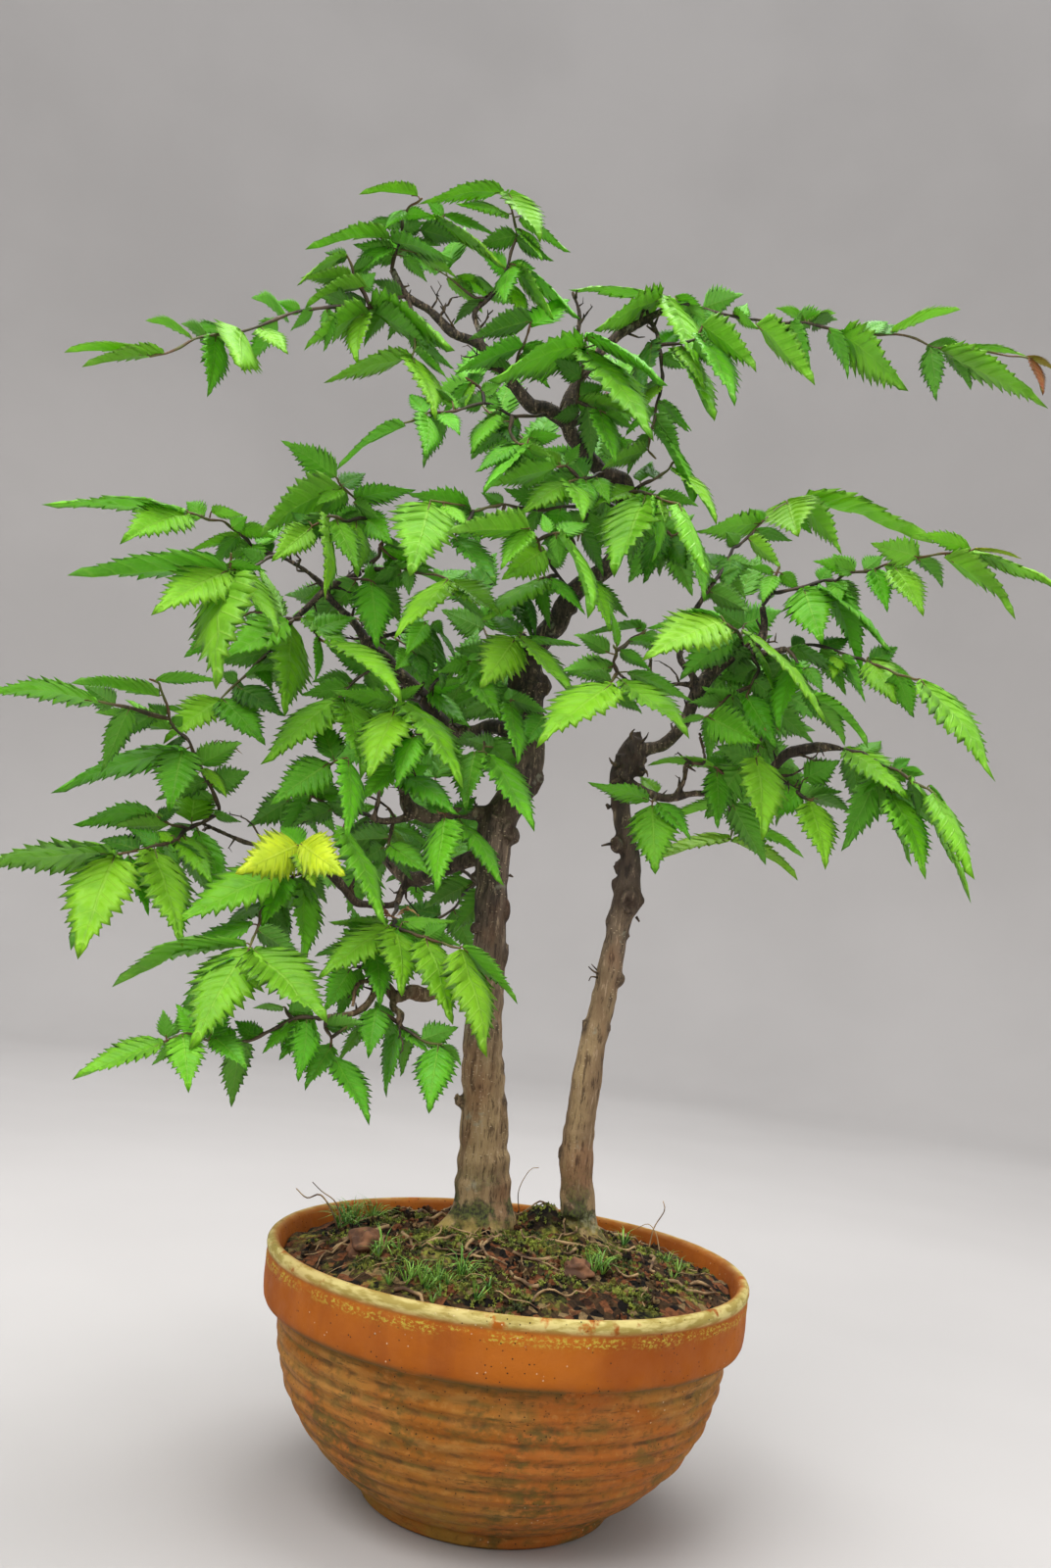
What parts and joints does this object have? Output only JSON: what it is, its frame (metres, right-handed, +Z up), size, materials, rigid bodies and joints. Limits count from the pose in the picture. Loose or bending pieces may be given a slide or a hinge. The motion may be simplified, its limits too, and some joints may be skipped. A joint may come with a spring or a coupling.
{
  "type": "japanese zelkova bonsai",
  "caption": "Zelkova bonsai with slender trunks and long drooping toothed leaves, standing in a round unglazed terracotta bowl of mounded soil; a potted plant for a bench or a windowsill",
  "frame": {"origin": "centre of the flat underside of the pot's foot, on the pot's own axis", "axes": "+Z up along the pot's axis, +X to the right and -Y towards the side the plant is looked at from"},
  "size_m": [0.5614, 0.2736, 0.7336],
  "materials": {
    "terracotta": "unglazed fired clay, stained in its throwing grooves, pale crust at the lip",
    "mesh": "dull black plastic mesh",
    "soil": "damp dark loam, crumbly",
    "bark": "smooth grey-brown bark with raised knots",
    "moss": "dense short moss",
    "stone": "rough reddish brown stone",
    "grass": "fresh green blades",
    "leaf": "thin satin leaves, green to yellow, that light shines through"
  },
  "bodies": {
    "root": {"pot": "terracotta", "drain_mesh": "mesh", "soil": "soil", "trunk_main": "bark", "trunk_second": "bark", "moss_left": "moss", "moss_middle": "moss", "stone_left": "stone", "stone_right": "stone", "grass_tuft_left": "grass", "grass_tuft_middle": "grass", "grass_tuft_right": "grass", "shoot_top_left": "leaf", "shoot_top_centre": "leaf", "shoot_far_left": "leaf", "shoot_inner_fork": "leaf", "shoot_fork_front": "leaf", "shoot_far_right": "leaf", "shoot_hanging_right": "leaf", "shoot_thin_left": "leaf", "shoot_bend": "leaf", "shoot_elbow": "leaf", "shoot_mid_left": "leaf", "shoot_centre": "leaf", "shoot_left_centre": "leaf", "shoot_left_node": "leaf", "shoot_left_upper": "leaf", "shoot_left_middle": "leaf", "shoot_left_dark": "leaf", "shoot_branch_four": "leaf", "shoot_tan_stem": "leaf", "shoot_pale_left": "leaf", "shoot_left_low": "leaf", "shoot_left_cluster": "leaf", "shoot_yellow": "leaf", "shoot_lower_left": "leaf", "shoot_lower_fan": "leaf", "shoot_branch_three_up": "leaf", "shoot_branch_three_low": "leaf", "shoot_branch_two": "leaf", "shoot_branch_one_up": "leaf", "shoot_branch_one_left": "leaf", "shoot_branch_one_down": "leaf", "shoot_branch_four_near": "leaf", "shoot_trunk_front": "leaf", "shoot_trunk_bright": "leaf", "shoot_centre_right": "leaf", "shoot_yellow_right": "leaf", "shoot_upper_right": "leaf", "shoot_right": "leaf", "shoot_right_middle": "leaf", "shoot_right_inner": "leaf", "shoot_right_low": "leaf", "shoot_right_lower": "leaf", "shoot_right_front": "leaf", "shoot_second_low": "leaf", "shoot_back_low_left": "leaf", "shoot_back_left": "leaf", "shoot_back_right": "leaf", "shoot_back_top": "leaf"}
  },
  "joints": []
}
